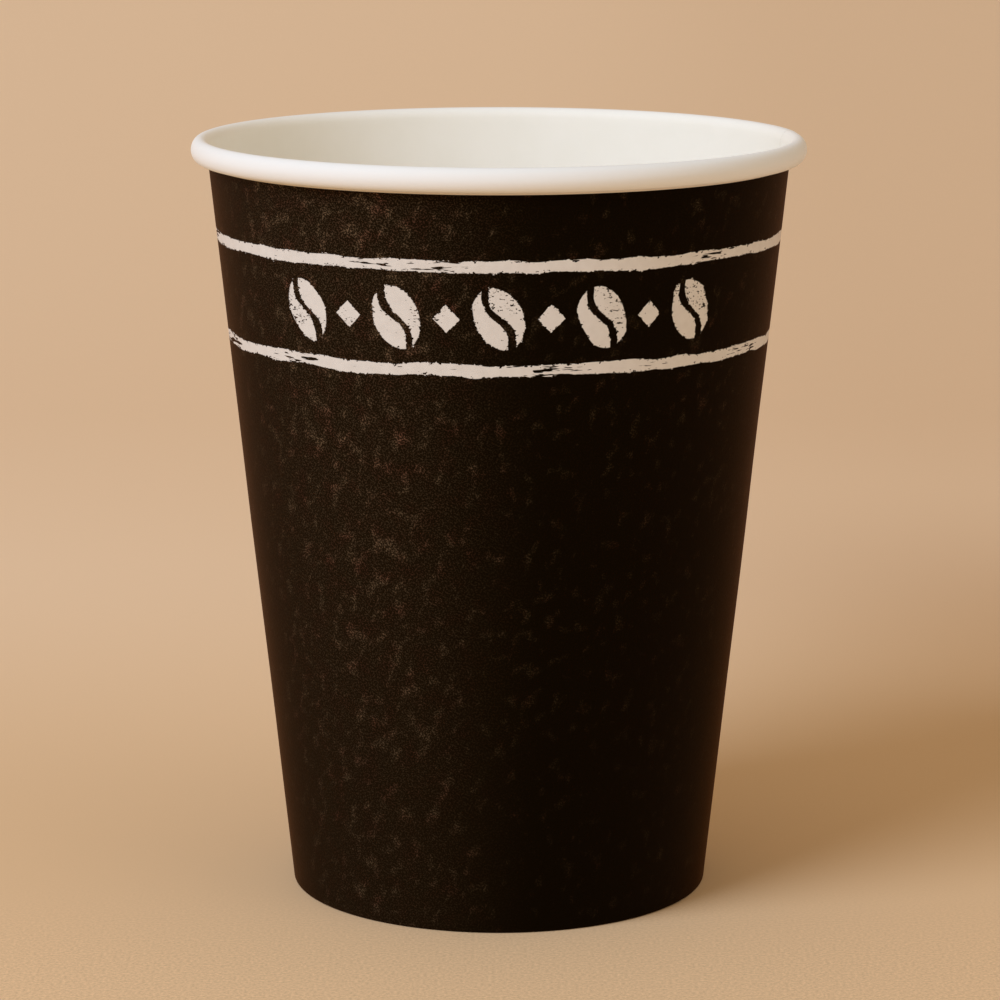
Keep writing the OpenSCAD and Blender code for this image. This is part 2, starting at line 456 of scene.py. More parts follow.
def plain_mesh(maker, name):
    """The maker's evaluated mesh, as a new object without modifiers. The maker is removed."""
    depsgraph = bpy.context.evaluated_depsgraph_get()
    mesh = bpy.data.meshes.new_from_object(maker.evaluated_get(depsgraph))
    mesh.name = name
    while mesh.materials and mesh.materials[0] is None:
        mesh.materials.pop(index=0)
    bpy.data.objects.remove(maker)
    return put_up(name, mesh)


def section_object(line, weights, along):
    """A mesh of points in the XZ plane, in metres, that carries what the tree looks up."""
    mesh = bpy.data.meshes.new("section")
    places = [(r * MM, 0, z * MM) for r, z in line]
    mesh.from_pydata(places, [(i, i + 1) for i in range(len(line) - 1)], [])
    sides = [printed_side(line, i) for i in range(len(line))]
    carried = {
        "printed_side": [(side.x, 0, side.y) for side in sides],
        "weights": [(pressed, curled, loose) for pressed, curled, loose, knurled in weights],
        "marks": [(weights[i][3], along[i] * MM, line[i].y * MM) for i in range(len(line))],
    }
    for name, values in carried.items():
        attribute = mesh.attributes.new(name, "FLOAT_VECTOR", "POINT")
        attribute.data.foreach_set("vector", [c for value in values for c in value])
    return put_up("section", mesh)


def rolled_board(name, section, sizes, thickness, finishes):
    """Rolls a section into a sheet, makes it board of that thickness and gives it its finishes."""
    maker = section_object(*section)
    rolling = maker.modifiers.new("roll_the_blank", "NODES")
    rolling.node_group = roll_the_blank
    names = {item.name: item.identifier for item in roll_the_blank.interface.items_tree
             if item.in_out == "INPUT"}
    for size, value in sizes.items():
        rolling[names[size]] = value
    rolling[names["Points"]] = len(section[0])
    rolling[names["Board"]] = finishes[0]
    sheet = plain_mesh(maker, name + "_sheet")
    for finish in finishes[1:]:
        sheet.data.materials.append(finish)

    group = sheet.vertex_groups.new(name="thickness")
    shares = sheet.data.attributes["thickness"].data
    for number, share in enumerate(shares):
        group.add([number], share.value, "REPLACE")
    solid = sheet.modifiers.new("board", "SOLIDIFY")
    solid.thickness = thickness * MM
    solid.offset = 0
    solid.use_even_offset = True
    solid.use_quality_normals = True
    solid.vertex_group = group.name
    solid.material_offset = 1
    solid.material_offset_rim = 2
    board = plain_mesh(sheet, name)
    board.data.shade_smooth()
    board.data.set_sharp_from_angle(angle=SHARP_ANGLE)
    return board


def triangles(piece):
    return sum(len(polygon.vertices) - 2 for polygon in piece.data.polygons)


print("cut edges turn sharp at", round(math.degrees(SHARP_ANGLE)), "degrees")

# %% [markdown]
# ## Finishes
# All of them start from one short function: a Principled shader with its constant
# values on its own sockets. Each finish then builds its pattern in millimetres of
# the flat blank, so a fleck that is 2 mm wide on the board is 2 mm wide here.

# %% Start a finish
NOISE_SPAN = (0.3, 0.7)  # the levels that noise mostly stays between


def new_finish(name, **constants):
    """A material, its tree and its Principled shader with constant values set on the sockets."""
    finish = bpy.data.materials.new(name)
    finish.use_nodes = True
    shader = finish.node_tree.nodes["Principled BSDF"]
    for socket, value in constants.items():
        shader.inputs[socket.replace("_", " ")].default_value = value
    return finish, finish.node_tree, shader


def finish_shader(tree, shader, base=None, roughness=None, height=None, bump_mm=0.02):
    """Links what varies over the surface: colour, roughness, and height as bump."""
    if base:
        tree.links.new(first_shown(base.outputs), shader.inputs["Base Color"])
    if roughness:
        tree.links.new(first_shown(roughness.outputs), shader.inputs["Roughness"])
    if height:
        bump = add(tree, "ShaderNodeBump", {"Height": height, "Distance": bump_mm * MM})
        tree.links.new(bump.outputs["Normal"], shader.inputs["Normal"])


print("finishes start from a Principled shader")

# %% [markdown]
# ### Dark print with flecks
# The outside is offset-printed board: warm black ink that covers the sheet from
# edge to edge, with a pattern of brown flecks that stands for roasted grounds. Ink
# on paper is matte. What the eye sees close up is three sizes of detail at once:
# broad clouds where the flecks crowd together, the flecks themselves, one to two
# millimetres across and leaning a little, and the fine grain that they are made
# of. Left of the print's middle a painted sheen makes the ink a little paler and
# brings up more of the flecks and the grain, standing in for the light that the
# ink reflects there. The flecks are crisp at the top of the cup and fainter
# towards its foot.

# %% Sizes and colours of the dark print
INK_BLACK = "0B0702"
# The next colour is a painted sheen: paler ink where the print reflects the window's light
INK_PAINTED_SHEEN = "170F06"
INK_SHINE = "FFC468"  # the little light that the ink reflects comes back warm
INK_EDGE = "BC660E"  # and seen along the surface it glows brown
FLECK_TAN = "66543F"
FLECK_RED = "6E4838"
PAINTED_SHEEN_AT = -24.0  # middle of the painted sheen, to the left of the print's middle
PAINTED_SHEEN_FLAT = 4.0  # the painted sheen is even this far to each side of it, and fades out to the next
PAINTED_SHEEN_REACH = 32.0
CLOUD_MM = 9.0
CLOUD_PUSH = 0.2  # how far a cloud brings its flecks up
PAINTED_SHEEN_PUSH = 0.045  # and how far the painted sheen does
FLECK_MM = 1.8
FLECK_SQUASH = 0.7  # flecks are longer than they are wide
FLECK_LEAN = math.radians(24)  # and lean a little to the right
FLECK_CUT = (0.67, 0.97)  # noise levels between which a fleck comes up
GRAIN_MM = 0.25  # the real grain is nearer 0.2 mm, drawn coarser so that it shows
GRAIN_CUT = (0.5, 0.62)
GRAINY = (1.5, 0.15)  # a fleck's strength that is in its grains, and between them
FLECKS_SHOW = (0.45, 0.25)  # how much more in the painted sheen, and how much everywhere
DUST_SHOWS = (0.23, 0.015)  # the same for loose grains
CRISP_BETWEEN = (15.0, 100.0)  # heights between which the flecks grow crisper
CRISPNESS = (0.5, 1.25)
HUE_MM = 3.0  # flecks turn from tan to red over this distance
HUE_CUT = (0.45, 0.75)


def dark_print(tree, blank, across, height):
    """Colour of the dark print from flat coordinates, and the grain that its bump reuses."""
    # Painted sheen: the ink is made paler left of the print's middle, where it would catch the window
    from_painted_sheen = add(tree, MATH, [across, PAINTED_SHEEN_AT], operation="SUBTRACT")
    away = add(tree, MATH, [from_painted_sheen], operation="ABSOLUTE")
    painted_sheen = add(tree, RANGE, [away, PAINTED_SHEEN_FLAT, PAINTED_SHEEN_REACH, 1.0, 0.0], **SMOOTH)
    leaning = add(tree, "ShaderNodeVectorRotate", {"Vector": blank, "Angle": FLECK_LEAN},
                  rotation_type="Z_AXIS")
    stretched = add(tree, VECTOR, [leaning, (1, FLECK_SQUASH, 1)], operation="MULTIPLY")
    clouds = add(tree, NOISE, {"Vector": stretched, "Scale": 1 / CLOUD_MM, "Detail": 1.0})
    flecks = add(tree, NOISE, {"Vector": stretched, "Scale": 1 / FLECK_MM, "Detail": 2.0,
                               "Roughness": 0.5, "Distortion": 0.15})
    grain = add(tree, NOISE, {"Vector": leaning, "Scale": 1 / GRAIN_MM, "Detail": 1.0, "Roughness": 0.7})

    # Flecks crowd together in the clouds, are made of grain and show most in the painted sheen
    crowd = add(tree, MATH, [clouds, CLOUD_PUSH, flecks], operation="MULTIPLY_ADD")
    density = add(tree, MATH, [painted_sheen, PAINTED_SHEEN_PUSH, crowd], operation="MULTIPLY_ADD")
    marks = add(tree, RANGE, [density, *FLECK_CUT])
    dots = add(tree, RANGE, [grain, *GRAIN_CUT])
    dusting = add(tree, MATH, [dots, *GRAINY], operation="MULTIPLY_ADD")
    dusted = add(tree, MATH, [marks, dusting], operation="MULTIPLY")
    showing = add(tree, MATH, [painted_sheen, *FLECKS_SHOW], operation="MULTIPLY_ADD")
    shown = add(tree, MATH, [dusted, showing], operation="MULTIPLY")
    scattered = add(tree, MATH, [painted_sheen, *DUST_SHOWS], operation="MULTIPLY_ADD")
    speckled = add(tree, MATH, [dots, scattered, shown], operation="MULTIPLY_ADD")
    crisp = add(tree, RANGE, [height, *CRISP_BETWEEN, *CRISPNESS])
    amount = add(tree, MATH, [speckled, crisp], operation="MULTIPLY")

    hues = add(tree, NOISE, {"Vector": blank, "Scale": 1 / HUE_MM, "Detail": 1.0})
    redness = add(tree, RANGE, [hues, *HUE_CUT])
    brown = add(tree, MIX, {"Factor": redness, "A": colour(FLECK_TAN), "B": colour(FLECK_RED)},
                data_type="RGBA")
    ink = add(tree, MIX, {"Factor": painted_sheen, "A": colour(INK_BLACK), "B": colour(INK_PAINTED_SHEEN)},
              data_type="RGBA")
    printed = add(tree, MIX, {"Factor": amount, "A": ink, "B": brown}, data_type="RGBA")
    return printed, grain


print("flecks are", FLECK_MM, "mm wide and their grain is", GRAIN_MM, "mm")

# %% [markdown]
# ### Pale stencilled print
# Two stripes run round the cup, and between them the front carries a row of beans
# and diamonds, as if all of it had been stencilled and then worn. A mask is drawn
# as a distance in millimetres from the edge of each shape. Adding noise to the
# distance before it is cut tears the edge, and a second noise, drawn out along the
# stripe, scratches chips out of the inside.

# %% Sizes of the pale print
PALE_INK = "E7E3DC"
PALE_THIN = "D7D1C9"
STRIPE_W = 1.6
STRIPE_MIDDLES = (98.1, 83.5)  # heights above the table
MOTIF_MIDDLE = 90.8
MOTIF_STEP = 14.6
BEAN_HALF = (3.3, 4.6)  # half width and half length of a bean
BEAN_TILT = math.radians(-24)
BEAN_SPLIT = 1.1  # width of the gap down a bean's middle
BEAN_CURL = 0.75  # how far the gap swings to each side
BEANS_EACH_SIDE = 2
DIAMOND_HALF = 1.9
MISPRINT = 0.35  # rise of the print from one end of the blank to the other
STRIPE_SWAY = 0.18  # how far a stripe's middle strays up and down
SWAY_MM = 9.0
FAR_OUTSIDE = 100.0  # a distance that covers what lies past the row's ends


def stripe_distance(tree, height, wrap):
    """Distance outside the nearer stripe, negative inside it."""
    sways = add(tree, NOISE, {"Vector": wrap, "Scale": 1 / SWAY_MM, "Detail": 1.0})
    sway = add(tree, RANGE, [sways, *NOISE_SPAN, -STRIPE_SWAY, STRIPE_SWAY])
    swayed = add(tree, MATH, [height, sway], operation="ADD")
    gaps = [add(tree, MATH, [swayed, middle], operation="SUBTRACT") for middle in STRIPE_MIDDLES]
    away = [add(tree, MATH, [gap], operation="ABSOLUTE") for gap in gaps]
    nearer = add(tree, MATH, away, operation="MINIMUM")
    return add(tree, MATH, [nearer, STRIPE_W / 2], operation="SUBTRACT")


def repeat_along(tree, across, up, shift):
    """Coordinates about the nearest of a row of centres, and that centre's number."""
    moved = add(tree, MATH, [across, shift], operation="ADD")
    steps = add(tree, MATH, [moved, MOTIF_STEP], operation="DIVIDE")
    number = add(tree, MATH, [steps], operation="ROUND")
    centre = add(tree, MATH, [number, MOTIF_STEP], operation="MULTIPLY")
    local = add(tree, MATH, [moved, centre], operation="SUBTRACT")
    raised = add(tree, MATH, [up, MOTIF_MIDDLE], operation="SUBTRACT")
    return add(tree, "ShaderNodeCombineXYZ", {"X": local, "Y": raised}), number


def only_in_row(tree, distance, number, middle, reach):
    """The distance, or far outside where the number is past either end of the row."""
    from_middle = add(tree, MATH, [number, middle], operation="SUBTRACT")
    order = add(tree, MATH, [from_middle], operation="ABSOLUTE")
    past_end = add(tree, MATH, [order, reach], operation="GREATER_THAN")
    return add(tree, MATH, [past_end, FAR_OUTSIDE, distance], operation="MULTIPLY_ADD")


def bean_distance(tree, across, up):
    """Distance outside the nearest bean: an oval, less a curved gap down its middle."""
    local, number = repeat_along(tree, across, up, 0)
    upright = add(tree, "ShaderNodeVectorRotate", {"Vector": local, "Angle": BEAN_TILT},
                  rotation_type="Z_AXIS")
    squeezed = add(tree, VECTOR, [upright, (1 / BEAN_HALF[0], 1 / BEAN_HALF[1], 1)], operation="MULTIPLY")
    reach = add(tree, VECTOR, [squeezed], operation="LENGTH")
    oval = add(tree, MATH, [reach, BEAN_HALF[0], -BEAN_HALF[0]], operation="MULTIPLY_ADD")
    place = add(tree, "ShaderNodeSeparateXYZ", [upright]).outputs
    sway = add(tree, MATH, [place["Y"], math.pi / BEAN_HALF[1]], operation="MULTIPLY")
    swing = add(tree, MATH, [sway], operation="SINE")
    middle = add(tree, MATH, [swing, BEAN_CURL, place["X"]], operation="MULTIPLY_ADD")
    off_middle = add(tree, MATH, [middle], operation="ABSOLUTE")
    in_split = add(tree, MATH, [BEAN_SPLIT / 2, off_middle], operation="SUBTRACT")
    bean = add(tree, MATH, [oval, in_split], operation="MAXIMUM")
    return only_in_row(tree, bean, number, 0.0, BEANS_EACH_SIDE + 0.5)


def diamond_distance(tree, across, up):
    """Distance outside the nearest small diamond, halfway between two beans."""
    local, number = repeat_along(tree, across, up, MOTIF_STEP / 2)
    sides = add(tree, VECTOR, [local], operation="ABSOLUTE")
    place = add(tree, "ShaderNodeSeparateXYZ", [sides]).outputs
    both = add(tree, MATH, [place["X"], place["Y"]], operation="ADD")
    diamond = add(tree, MATH, [both, DIAMOND_HALF], operation="SUBTRACT")
    return only_in_row(tree, diamond, number, 0.5, BEANS_EACH_SIDE)


print("a row of", 2 * BEANS_EACH_SIDE + 1, "beans,", MOTIF_STEP, "mm apart")

# %% [markdown]
# ### Wear on the pale print
# Four things spoil the stencil: the edge wanders, nicks are bitten out of it, flat
# chips follow the direction of the stripes and specks let the dark ink through.
# Chips and specks come in patches, so a broad noise decides where they may be.

# %% Tear and chip the shapes
WANDER_MM = 0.18  # how far the edge strays, over a distance of
WANDER_EVERY_MM = 5.0
NICK_MM = 0.42  # how deep the nicks are, and how wide
NICK_WIDTH_MM = 0.6
NICK_CUT = (0.58, 0.72)  # noise levels between which a nick deepens
BURR_CUT = (0.24, 0.44)  # and between which a burr stands out
BURR_SHARE = -0.6  # of a nick's depth, and outwards
EDGE_MM = 0.04  # half the width over which the ink ends
PATCH_CUT = (0.42, 0.64)  # noise levels between which a patch turns from whole to worn
CHIP_EDGE = (-0.01, 0.02)  # noise levels over which a chip ends
CHIPS = {"drawn_out": (0.3, 2.0), "size_mm": 1.0, "patch_mm": 12.0, "least": 0.74, "most": 0.54}
SPECKS = {"drawn_out": (0.8, 1.2), "size_mm": 0.45, "patch_mm": 7.0, "least": 0.78, "most": 0.60}


def torn(tree, distance, wrap):
    """1 inside a shape and 0 outside it, with an edge that wanders, is ragged and has nicks."""
    wander = add(tree, NOISE, {"Vector": wrap, "Scale": 1 / WANDER_EVERY_MM, "Detail": 1.0})
    wandering = add(tree, RANGE, [wander, *NOISE_SPAN, -WANDER_MM, WANDER_MM])
    ragged = add(tree, NOISE, {"Vector": wrap, "Scale": 1 / NICK_WIDTH_MM, "Detail": 2.0, "Roughness": 0.6})
    bitten = add(tree, RANGE, [ragged, *NICK_CUT, 0.0, NICK_MM])
    proud = add(tree, RANGE, [ragged, *BURR_CUT, NICK_MM, 0.0])
    edge = distance
    for change, share in ((wandering, 1), (bitten, 1), (proud, BURR_SHARE)):
        edge = add(tree, MATH, [change, share, edge], operation="MULTIPLY_ADD")
    return add(tree, RANGE, [edge, -EDGE_MM, EDGE_MM, 1.0, 0.0])


def gone_in_patches(tree, wrap, drawn_out, size_mm, patch_mm, least, most):
    """0 where the ink is gone and 1 where it holds. It goes where a fine noise passes a level: the
    one named least where the print is whole, and the one named most in the worn patches."""
    shaped = add(tree, VECTOR, [wrap, (*drawn_out, 1)], operation="MULTIPLY")
    pieces = add(tree, NOISE, {"Vector": shaped, "Scale": 1 / size_mm, "Detail": 2.0, "Roughness": 0.6})
    patches = add(tree, NOISE, {"Vector": wrap, "Scale": 1 / patch_mm, "Detail": 0.0})
    limit = add(tree, RANGE, [patches, *PATCH_CUT, least, most])
    over = add(tree, MATH, [pieces, limit], operation="SUBTRACT")
    return add(tree, RANGE, [over, *CHIP_EDGE, 1.0, 0.0])


def pale_mask(tree, stripes, motifs, wrap):
    """How much the pale ink covers: chipped stripes and specked motifs together."""
    striped = torn(tree, stripes, wrap)
    chips = gone_in_patches(tree, wrap, **CHIPS)
    chipped = add(tree, MATH, [striped, chips], operation="MULTIPLY")
    stencilled = torn(tree, motifs, wrap)
    specks = gone_in_patches(tree, wrap, **SPECKS)
    specked = add(tree, MATH, [stencilled, specks], operation="MULTIPLY")
    return add(tree, MATH, [chipped, specked], operation="MAXIMUM")


print("nicks are bitten", NICK_MM, "mm deep at most")

# %% [markdown]
# ### The printed face as a whole
# The dark print stops a few millimetres up the hem, where the blank was left bare
# for the glue, and just short of the roll, where a hairline of bare board shows.
# The pale print lies over the dark one. Coated or not, board has a faint fibre
# relief, and ink sits a hundredth of a millimetre proud of it.

# %% Offset-printed cup board
PRINT_ENDS = (-8.0, -6.6)  # millimetres along the board, inside the hem
PRINT_FRAY = 0.8  # how far the grain frays that end
PRINT_TOP = CUP_H - ROLL_H - 0.14
TOP_FADE = 0.03
BLANK_WIDTH = 270  # millimetres at the print, rounded up
UNPRINTED = "ECE3D4"  # board with no ink on it
TINT_MM = 1.5
FIBRE_MM = 0.45
INK_RELIEF = 0.5  # how far ink stands out, against the fibres
INK_ROUGHNESS = (0.48, 0.7)


def offset_printed_board():
    finish, tree, shader = new_finish("offset_printed_board", Specular_IOR_Level=0.03,
                                      Specular_Tint=colour(INK_SHINE), Sheen_Weight=0.2,
                                      Sheen_Roughness=0.35, Sheen_Tint=colour(INK_EDGE))
    blank = add(tree, "ShaderNodeAttribute", attribute_name="blank").outputs["Vector"]
    wrap = add(tree, "ShaderNodeAttribute", attribute_name="wrap").outputs["Vector"]
    place = add(tree, "ShaderNodeSeparateXYZ", [wrap]).outputs
    across, along = place["X"], place["Z"]
    height = add(tree, MATH, [across, MISPRINT / BLANK_WIDTH, place["Y"]], operation="MULTIPLY_ADD")

    dark, grain = dark_print(tree, blank, across, height)
    stripes = stripe_distance(tree, height, wrap)
    beans = bean_distance(tree, across, height)
    diamonds = diamond_distance(tree, across, height)
    motifs = add(tree, MATH, [beans, diamonds], operation="MINIMUM")
    mask = pale_mask(tree, stripes, motifs, wrap)
    tint = add(tree, NOISE, {"Vector": blank, "Scale": 1 / TINT_MM, "Detail": 3.0})
    pale_tint = add(tree, MIX, {"Factor": tint, "A": colour(PALE_THIN), "B": colour(PALE_INK)},
                    data_type="RGBA")
    over = add(tree, MIX, {"Factor": mask, "A": dark, "B": pale_tint}, data_type="RGBA")

    ragged = add(tree, MATH, [grain, PRINT_FRAY, along], operation="MULTIPLY_ADD")
    begun = add(tree, RANGE, [ragged, *PRINT_ENDS])
    below_top = add(tree, RANGE, [place["Y"], PRINT_TOP - TOP_FADE, PRINT_TOP + TOP_FADE, 1.0, 0.0])
    inked = add(tree, MATH, [begun, below_top], operation="MULTIPLY")
    face = add(tree, MIX, {"Factor": inked, "A": colour(UNPRINTED), "B": over}, data_type="RGBA")
    fibres = add(tree, NOISE, {"Vector": blank, "Scale": 1 / FIBRE_MM, "Detail": 3.0, "Roughness": 0.6})
    relief = add(tree, MATH, [mask, INK_RELIEF, fibres], operation="MULTIPLY_ADD")
    roughness = add(tree, RANGE, [fibres, 0.0, 1.0, *INK_ROUGHNESS])
    finish_shader(tree, shader, face, roughness, relief, bump_mm=0.02)
    return finish


printed_board = offset_printed_board()
print("printed board:", len(printed_board.node_tree.nodes), "nodes")

# %% [markdown]
# ### Coated, bare and cut board
# The inside is white board under a thin film of polyethylene, so it is smooth and
# satin, with the cloudy look that pulp has when it settles unevenly. The roll is
# tinted a little darker and cooler than the rest of the film: painted shade, which
# tones down the light that the roll catches. The film covers only that face: the
# underside of the base is bare board, dull and fibrous.
# A cut edge shows the plies of the board, yellower than either face.

# %% Board finishes
ROUGHER = 0.08  # how much the fibres add to the roughness or take away


def board_finish(name, pale, shade, cloud_mm, fibre_mm, roughness, bump_mm, gloss, curled=None):
    """A paper surface: clouds between two tints, fine fibres in its relief and roughness."""
    finish, tree, shader = new_finish(name, Specular_IOR_Level=gloss)
    place = add(tree, "ShaderNodeTexCoord").outputs["Object"]
    in_mm = add(tree, VECTOR, {0: place, "Scale": 1 / MM}, operation="SCALE")
    clouds = add(tree, NOISE, {"Vector": in_mm, "Scale": 1 / cloud_mm, "Detail": 4.0, "Roughness": 0.6})
    fibres = add(tree, NOISE, {"Vector": in_mm, "Scale": 1 / fibre_mm, "Detail": 3.0, "Distortion": 0.6})
    spread = add(tree, RANGE, [clouds, *NOISE_SPAN])
    base = add(tree, MIX, {"Factor": spread, "A": colour(shade), "B": colour(pale)}, data_type="RGBA")
    # A darker, cooler tint on the roll is painted shade, which tones down the light it catches
    if curled:
        level = add(tree, VECTOR, [in_mm, (1, 1, 0)], operation="MULTIPLY")
        radius = add(tree, VECTOR, [level], operation="LENGTH")
        roll_painted_shade = add(tree, RANGE, [radius, RIM_D / 2 - ROLL_W, RIM_D / 2 - ROLL_W / 2])
        base = add(tree, MIX, {"Factor": roll_painted_shade, "A": base, "B": colour(curled)}, data_type="RGBA")
    dull = add(tree, RANGE, [fibres, 0.0, 1.0, roughness - ROUGHER, roughness + ROUGHER])
    finish_shader(tree, shader, base, dull, fibres, bump_mm)
    return finish


# The tint that the roll gets here is painted shade
coated_board = board_finish("polyethylene_coated_board", pale="FDF9EE", shade="FBF7EB",
                            cloud_mm=6.0, fibre_mm=0.9, roughness=0.5, bump_mm=0.012,
                            gloss=0.08, curled="F2F2EE")
bare_board = board_finish("uncoated_board", pale="ECE5D9", shade="DFD5C5",
                          cloud_mm=3.0, fibre_mm=0.5, roughness=0.85, bump_mm=0.03,
                          gloss=0.3)
cut_board = board_finish("cut_board_edge", pale="EADFCB", shade="CDBB9D",
                         cloud_mm=0.5, fibre_mm=0.2, roughness=0.92, bump_mm=0.03,
                         gloss=0.2)
print("board finishes:", coated_board.name, bare_board.name, cut_board.name)

# %% [markdown]
# ## The wall
# The blank overlaps by seven millimetres, behind the right side of the print. It
# starts at the raw edge that ends up inside the cup and goes round once and a bit,
# anticlockwise seen from above. A hundredth of a millimetre between the layers
# stands for the sealed film.

# %% Roll the wall
LAP_W = 7
LAP_RAMP = 2
LAP_BULGE = 0.3
SEAM_ANGLE = math.radians(15)
SEAL_T = 0.01
WALL_STEPS = 420
WAVINESS = 0.12
WAVE_LENGTH = 42
HEM_TEETH = 70
TOOTH_DEPTH = 0.1
PRINT_RADIUS = wall_r(MOTIF_MIDDLE, 0)

mid_radius = wall_r(CUP_H / 2, 0)
lap_angle = LAP_W / mid_radius
apex_mm = foot_r / math.sin(lean)

sidewall_board = rolled_board(
    "sidewall_board", (wall_line, wall_weights, wall_along),
    {"Steps": WALL_STEPS, "Start Angle": SEAM_ANGLE - lap_angle / 2, "Lap Angle": lap_angle,
     "Ramp Angle": LAP_RAMP / mid_radius, "Layer": (WALL_T + SEAL_T) * MM,
     "Roll Bulge": LAP_BULGE * MM, "Waviness": WAVINESS * MM, "Wave Length": WAVE_LENGTH * MM,
     "Teeth": HEM_TEETH, "Tooth Depth": TOOTH_DEPTH * MM, "Lean": lean, "Apex": apex_mm * MM,
     "Print Radius": PRINT_RADIUS * MM},
    WALL_T, (printed_board, coated_board, cut_board))
print("the wall has", triangles(sidewall_board), "triangles")

# %% [markdown]
# ## The base
# The base is the same kind of work with a shorter line: from the axis out across
# the disc, round one bend and down the flange that the foot's fold holds. The same
# tree turns it, with no overlap. The disc is a little slack, because the flange is
# gripped all round while the middle is free.

# %% Roll the base
BASE_STEPS = 240
DISC_STEPS = 14
FLANGE_STEPS = 6
DISC_SAG = 0.25
SLACK_WITHIN = 0.3  # share of the disc's radius that sags by all of that
DISC_WAVINESS = 0.15
DISC_WAVE = 18

flange_depth = WALL_T + SEAT_GAP + BASE_T / 2
base_z = HEM_H + HEM_GAP + BASE_T / 2
flange_z = WALL_T + FOLD_R + SEAT_GAP
base_corner = (wall_r(base_z, flange_depth), base_z)
flange_edge = (wall_r(flange_z, flange_depth), flange_z)
edge_bend = bend((0, base_z), base_corner, flange_edge, BASE_BEND + BASE_T / 2)
flat_disc = [Vector((0, base_z))] + run((0, base_z), edge_bend[0], DISC_STEPS)
slack = [1 - rise(point.x, SLACK_WITHIN * base_corner[0], edge_bend[0].x) for point in flat_disc]
sagging = [point - Vector((0, DISC_SAG * share)) for point, share in zip(flat_disc, slack)]
base_line = sagging + edge_bend + run(edge_bend[-1], flange_edge, FLANGE_STEPS) + [Vector(flange_edge)]
base_weights = [(0, 0, share, 0) for share in slack]
base_weights += [(0, 0, 0, 0)] * (len(base_line) - len(slack))

# What isn't given is zero. There is no lap, but the ramp's angle may not be zero
base_disc_board = rolled_board(
    "base_disc_board", (base_line, base_weights, lengths_along(base_line, 0)),
    {"Steps": BASE_STEPS, "Ramp Angle": 0.01, "Waviness": DISC_WAVINESS * MM,
     "Wave Length": DISC_WAVE * MM, "Lean": math.pi / 2, "Print Radius": PRINT_RADIUS * MM},
    BASE_T, (bare_board, coated_board, cut_board))
print("the base has", triangles(base_disc_board), "triangles")

# %% [markdown]
# ## Hand the boards to the frame
# Both pieces take the place of the plain solids that the checks use, and both ride
# on the cup's only body.

# %% Replace the plain solids
for piece, node, slot in ((sidewall_board, WALL, "printed_board"),
                          (base_disc_board, BASE, "coated_board")):
    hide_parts(node)
    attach(piece, "root")
    print(piece.name, "stands for", node)

# %% [markdown]
# ## Floor and backdrop
# The cup stands on a sweep: one sheet of warm paper that lies flat under the cup
# and curves up behind it, so there is no line where the floor ends. Its colour
# makes the background, and the same warm light that it throws back gives the
# underside of the roll and the shaded side of the mouth their tan tone. The paper
# is a little paler behind the cup and a little darker behind its right side. Its
# grain shows close in front, and is lost farther back, at a flatter angle.

# %% The paper sweep
SWEEP_FRONT = -1.6  # metres, as all sizes of the sweep are
SWEEP_BACK = 1.1
SWEEP_RADIUS = 0.7
SWEEP_TOP = 1.5
SWEEP_HALF = 2.2
SWEEP_STEPS = 24
FRONT_TONE = "E8C59A"
BACK_TONE = "F2D6B5"
SHADE_TONE = "D4B28D"  # the faint outer part of the cup's shadow, wider than the window's
TONES_MEET = (0.0, 0.24)  # metres behind the cup between which the paper turns paler
SHADE_BETWEEN = (0.0, 0.11)  # metres to the right between which the shade deepens
SHADE_ENDS = (0.14, 0.32)  # metres behind the cup between which it fades again
SHADE_LEFT = 0.2
PAPER_GRAIN_MM = 0.5
GRAIN_ENDS = (-0.05, 0.0)  # metres behind the cup's middle between which the grain fades
GRAIN_SHOWS = (0.85, 0.06)


def sweep_paper():
    finish, tree, shader = new_finish("seamless_paper", Roughness=0.9, Specular_IOR_Level=0.1)
    place = add(tree, "ShaderNodeTexCoord").outputs["Object"]
    in_mm = add(tree, VECTOR, {0: place, "Scale": 1 / MM}, operation="SCALE")
    grain = add(tree, NOISE, {"Vector": in_mm, "Scale": 1 / PAPER_GRAIN_MM, "Detail": 3.0,
                              "Roughness": 0.7})
    spot = add(tree, "ShaderNodeSeparateXYZ", [place]).outputs
    paler = add(tree, RANGE, [spot["Y"], *TONES_MEET], **SMOOTH)
    shaded = add(tree, RANGE, [spot["X"], *SHADE_BETWEEN], **SMOOTH)
    fading = add(tree, RANGE, [spot["Y"], *SHADE_ENDS, 1.0, SHADE_LEFT], **SMOOTH)
    shade = add(tree, MATH, [shaded, fading], operation="MULTIPLY")
    back = add(tree, MIX, {"Factor": shade, "A": colour(BACK_TONE), "B": colour(SHADE_TONE)},
               data_type="RGBA")
    tone = add(tree, MIX, {"Factor": paler, "A": colour(FRONT_TONE), "B": back}, data_type="RGBA")
    strength = add(tree, RANGE, [spot["Y"], *GRAIN_ENDS, *GRAIN_SHOWS], **SMOOTH)
    # The grain is about a half on average, so half its strength comes off and the tone stays
    relief = add(tree, MATH, [grain, strength], operation="MULTIPLY")
    level = add(tree, MATH, [strength, -0.5, 1.0], operation="MULTIPLY_ADD")
    mottle = add(tree, MATH, [relief, level], operation="ADD")
    base = add(tree, VECTOR, {0: tone, "Scale": mottle}, operation="SCALE")
    finish_shader(tree, shader, base, height=relief, bump_mm=0.06)
    return finish


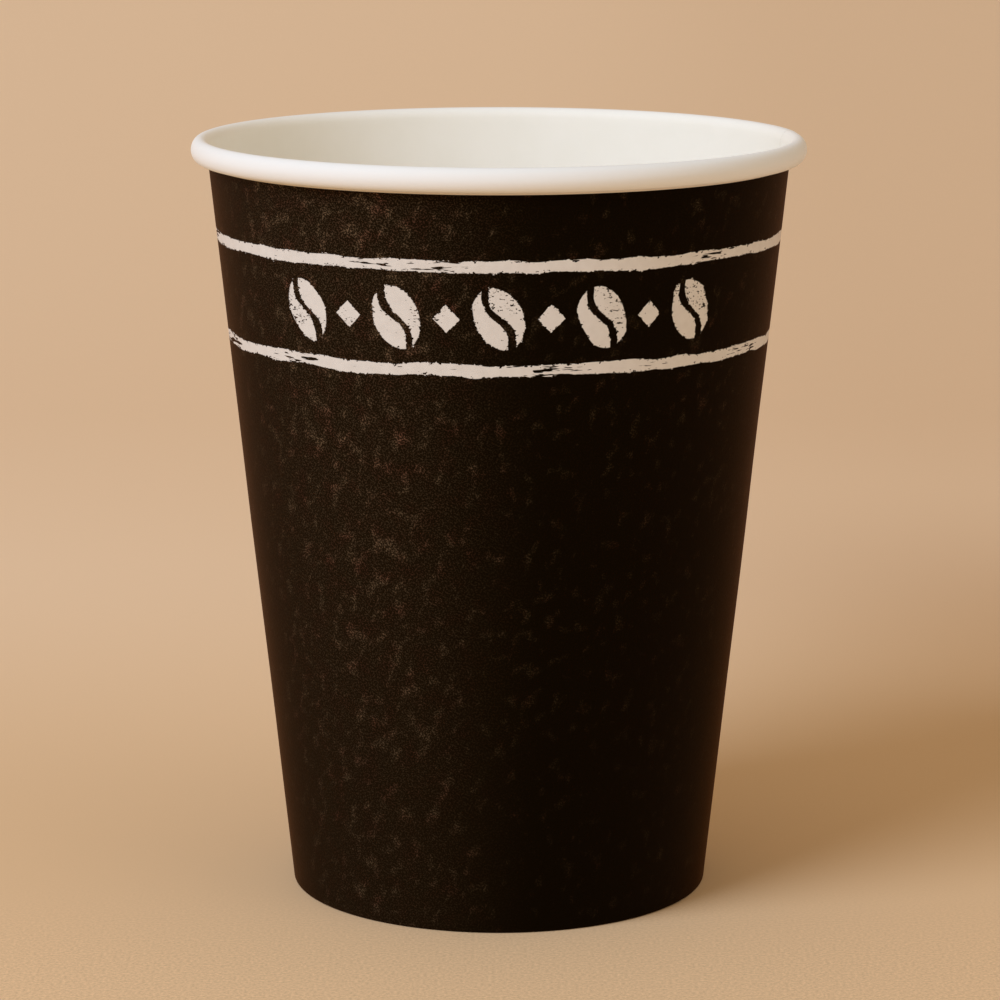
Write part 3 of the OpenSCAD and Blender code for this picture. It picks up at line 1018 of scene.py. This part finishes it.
profile = [(SWEEP_FRONT, 0.0), (SWEEP_BACK - SWEEP_RADIUS, 0.0)]
for number in range(1, SWEEP_STEPS + 1):
    angle = math.pi / 2 * number / SWEEP_STEPS
    profile.append((SWEEP_BACK - SWEEP_RADIUS + SWEEP_RADIUS * math.sin(angle),
                    SWEEP_RADIUS - SWEEP_RADIUS * math.cos(angle)))
profile.append((SWEEP_BACK, SWEEP_TOP))
corners = [(x, y, z) for y, z in profile for x in (-SWEEP_HALF, SWEEP_HALF)]
quads = [(2 * i, 2 * i + 1, 2 * i + 3, 2 * i + 2) for i in range(len(profile) - 1)]
sweep_mesh = bpy.data.meshes.new("paper_sweep")
sweep_mesh.from_pydata(corners, [], quads)
sweep_mesh.shade_smooth()
sweep_mesh.materials.append(sweep_paper())
paper_sweep = put_up("paper_sweep", sweep_mesh)
print("the sweep is", 2 * SWEEP_HALF, "m wide")

# %% [markdown]
# ## Light
# One broad soft window stands to the left, in front of the cup and above it. It
# makes the left of the roll the brightest place, shades the inside of the mouth
# near it and throws a soft shadow to the right. A pale reflector low on the right
# lifts the shaded end of the roll, and a dim room fills the rest. At this level a
# colour renders about as it is written.

# %% Window and room
LIT_POINT = (0.0, 0.0, 0.06)  # metres, as all places and sizes here are
KEY_PLACE = (-0.86, -0.76, 0.95)
KEY_SIZE = (0.8, 0.9)  # width and height
KEY_POWER = 16.0  # watts
KEY_COLOUR = "D6E5FD"
FILL_PLACE = (1.15, -0.8, 0.24)
FILL_SIZE = (1.0, 1.0)
FILL_POWER = 3.0
FILL_COLOUR = "EEF4FF"
ROOM_COLOUR = "FBE6C8"
ROOM_STRENGTH = 0.49


def soft_light(name, place, size, power, tint):
    """An oval area light that faces the middle of the cup."""
    data = bpy.data.lights.new(name, "AREA")
    data.shape = "ELLIPSE"
    data.size, data.size_y = size
    data.energy = power
    data.color = colour(tint)[:3]
    light = put_up(name, data)
    light.location = place
    light.rotation_euler = (Vector(LIT_POINT) - light.location).to_track_quat("-Z", "Y").to_euler()
    print(name, "of", power, "W stands", round(light.location.length, 2), "m away")


soft_light("window", KEY_PLACE, KEY_SIZE, KEY_POWER, KEY_COLOUR)
soft_light("reflector", FILL_PLACE, FILL_SIZE, FILL_POWER, FILL_COLOUR)

room = bpy.data.worlds.new("room")
room.use_nodes = True
background = room.node_tree.nodes["Background"]
background.inputs["Color"].default_value = colour(ROOM_COLOUR)
background.inputs["Strength"].default_value = ROOM_STRENGTH
scene.world = room
print("the room adds", ROOM_STRENGTH, "from all sides")
